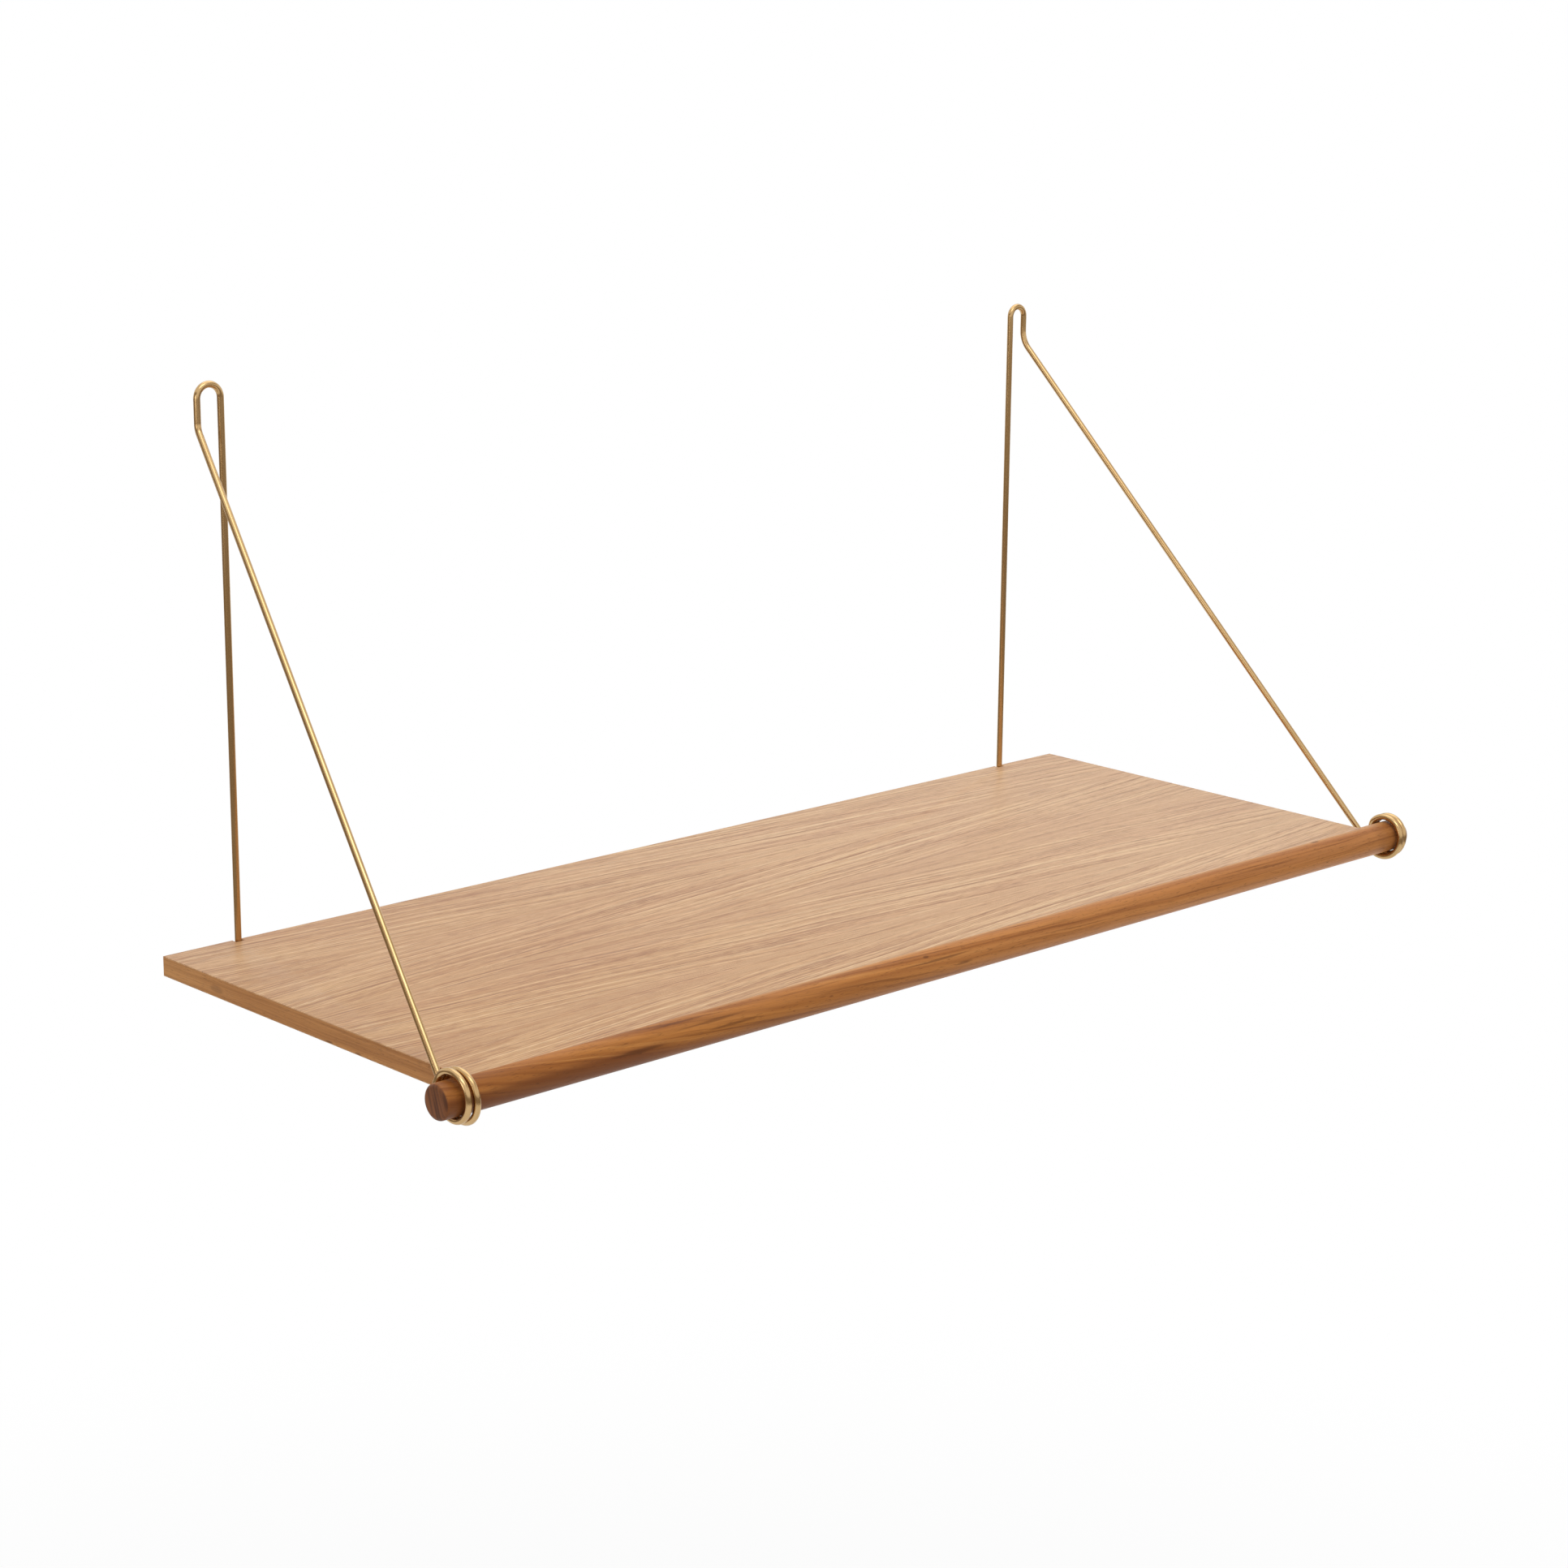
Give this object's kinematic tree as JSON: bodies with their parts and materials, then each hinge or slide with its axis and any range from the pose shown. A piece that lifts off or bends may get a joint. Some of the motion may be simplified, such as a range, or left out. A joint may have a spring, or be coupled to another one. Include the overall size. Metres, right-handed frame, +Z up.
{
  "type": "wall shelf",
  "caption": "Slim wooden wall shelf with a full-round front rail, hung from bent brass wire brackets that hook onto the wall and coil round the rail's ends.",
  "frame": {"origin": "middle of the board's back edge, on the wall", "axes": "+X to the right along the board, seen from the front; +Y into the wall; +Z up"},
  "size_m": [0.8075, 0.2965, 0.3527],
  "materials": {
    "panel": "raw board core",
    "oak_face": "satin lacquered oak veneer",
    "oak_edge": "satin lacquered oak edge band",
    "oak_rail": "satin lacquered solid oak",
    "beech": "plain beech",
    "brass_wire": "satin brass",
    "steel": "zinc-plated steel"
  },
  "bodies": {
    "root": {"core_panel": "panel", "top_veneer": "oak_face", "bottom_veneer": "oak_face", "left_end_band": "oak_edge", "right_end_band": "oak_edge", "back_band_left": "oak_edge", "back_band_middle": "oak_edge", "back_band_right": "oak_edge", "front_rail": "oak_rail", "rail_pins": "beech", "left_bracket": "brass_wire", "right_bracket": "brass_wire", "bracket_washers": "steel", "bracket_screws": "steel"}
  },
  "joints": []
}
